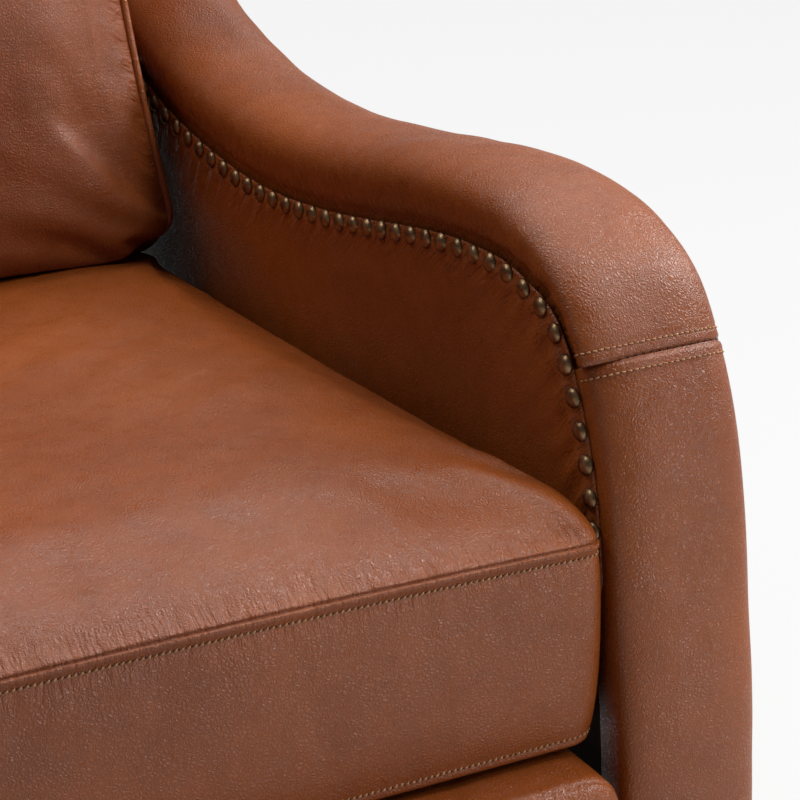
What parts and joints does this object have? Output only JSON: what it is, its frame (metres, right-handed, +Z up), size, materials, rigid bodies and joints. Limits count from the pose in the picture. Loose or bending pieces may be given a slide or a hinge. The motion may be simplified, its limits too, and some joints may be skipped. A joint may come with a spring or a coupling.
{
  "type": "wingback recliner armchair",
  "caption": "Leather wingback armchair with rolled, nail-trimmed arms, a boxed seat, and a back that reclines as the legrest swings out.",
  "frame": {"origin": "on the floor, under the middle of the chair's bounding box", "axes": "+Z up, the sitter faces -Y, +X to the right of the picture and to the sitter's left hand"},
  "size_m": [0.714, 0.8888, 1.026],
  "materials": {
    "leather": "pebbled cognac leather with a soft gloss and tan topstitching",
    "nails": "antique bronze brass nails on a folded leather edge",
    "plywood": "bare furniture plywood",
    "hardwood": "bare kiln-dried hardwood",
    "leg_wood": "dark walnut stain, satin lacquer",
    "zinc_steel": "zinc plated steel",
    "black_steel": "black powder coat",
    "deck_cloth": "woven black deck cloth",
    "glide_nylon": "black nylon"
  },
  "bodies": {
    "frame": {"arm_roll_right": "leather", "arm_roll_left": "leather", "front_facing_right": "leather", "front_facing_left": "leather", "rear_facing_right": "leather", "rear_facing_left": "leather", "inside_panel_right": "leather", "inside_panel_left": "leather", "outside_panel_right": "leather", "outside_panel_left": "leather", "nail_trim_right": "nails", "nail_trim_left": "nails", "side_frame_right": "plywood", "side_frame_left": "plywood", "outer_frame_right": "plywood", "outer_frame_left": "plywood", "bottom_rail_right": "hardwood", "bottom_rail_left": "hardwood", "front_cross_rail": "hardwood", "rear_cross_rail": "hardwood", "side_plate_right": "zinc_steel", "side_plate_left": "zinc_steel", "leg_front_right": "leg_wood", "leg_front_left": "leg_wood", "leg_rear_right": "leg_wood", "leg_rear_left": "leg_wood", "glide_front_right": "glide_nylon", "glide_front_left": "glide_nylon", "glide_rear_right": "glide_nylon", "glide_rear_left": "glide_nylon"},
    "seat": {"seat_cushion": "leather", "seat_frame": "hardwood", "seat_deck": "deck_cloth", "seat_spring_1": "zinc_steel", "seat_spring_2": "zinc_steel", "seat_spring_3": "zinc_steel", "seat_spring_4": "zinc_steel", "slide_bar_right": "black_steel", "slide_bar_left": "black_steel", "hinge_plate_right": "black_steel", "hinge_plate_left": "black_steel"},
    "back": {"back_cushion": "leather", "back_frame": "hardwood", "outside_back": "leather", "back_bracket_right": "black_steel", "back_bracket_left": "black_steel"},
    "swing_links": {"torque_tube": "black_steel"},
    "guide_links": {"guide_link_right": "black_steel", "guide_link_left": "black_steel"},
    "carriers": {"carrier_right": "zinc_steel", "carrier_left": "zinc_steel"},
    "control_rods": {"control_rod_right": "zinc_steel", "control_rod_left": "zinc_steel"},
    "legrest": {"legrest_pad": "leather", "legrest_board": "plywood", "legrest_bracket_right": "black_steel", "legrest_bracket_left": "black_steel"}
  },
  "joints": [
    {"name": "seat_slide", "type": "slide", "parent": "frame", "child": "seat", "axis": [0, -1, 0], "range_m": [0, 0.06]},
    {"name": "back_recline", "type": "hinge", "parent": "seat", "child": "back", "pos_m": [0, 0.176, 0.384], "axis": [-1, 0, 0], "range_deg": [0, 28]},
    {"name": "swing_pivot", "type": "hinge", "parent": "frame", "child": "swing_links", "pos_m": [0, -0.266, 0.302], "axis": [-1, 0, 0], "range_deg": [0, 90]},
    {"name": "guide_pivot", "type": "hinge", "parent": "frame", "child": "guide_links", "pos_m": [0, -0.206, 0.292], "axis": [-1, 0, 0], "range_deg": [0, 90]},
    {"name": "carrier_pivot", "type": "hinge", "parent": "swing_links", "child": "carriers", "pos_m": [0, -0.17996, 0.17913], "axis": [1, 0, 0], "range_deg": [0, 90]},
    {"name": "legrest_pivot", "type": "hinge", "parent": "carriers", "child": "legrest", "pos_m": [0, -0.34796, 0.30313], "axis": [-1, 0, 0], "range_deg": [0, 90]},
    {"name": "rod_pivot", "type": "hinge", "parent": "guide_links", "child": "control_rods", "pos_m": [0, -0.10505, 0.14783], "axis": [1, 0, 0], "range_deg": [0, 90]}
  ],
  "couplings": [
    {"joint": "seat_slide", "follows": "back_recline", "m_per_rad": 0.12277},
    {"joint": "swing_pivot", "follows": "back_recline", "ratio": 3.2142},
    {"joint": "guide_pivot", "follows": "back_recline", "ratio": 3.2142},
    {"joint": "carrier_pivot", "follows": "back_recline", "ratio": 3.2142},
    {"joint": "legrest_pivot", "follows": "back_recline", "ratio": 3.2142},
    {"joint": "rod_pivot", "follows": "back_recline", "ratio": 3.2142}
  ]
}
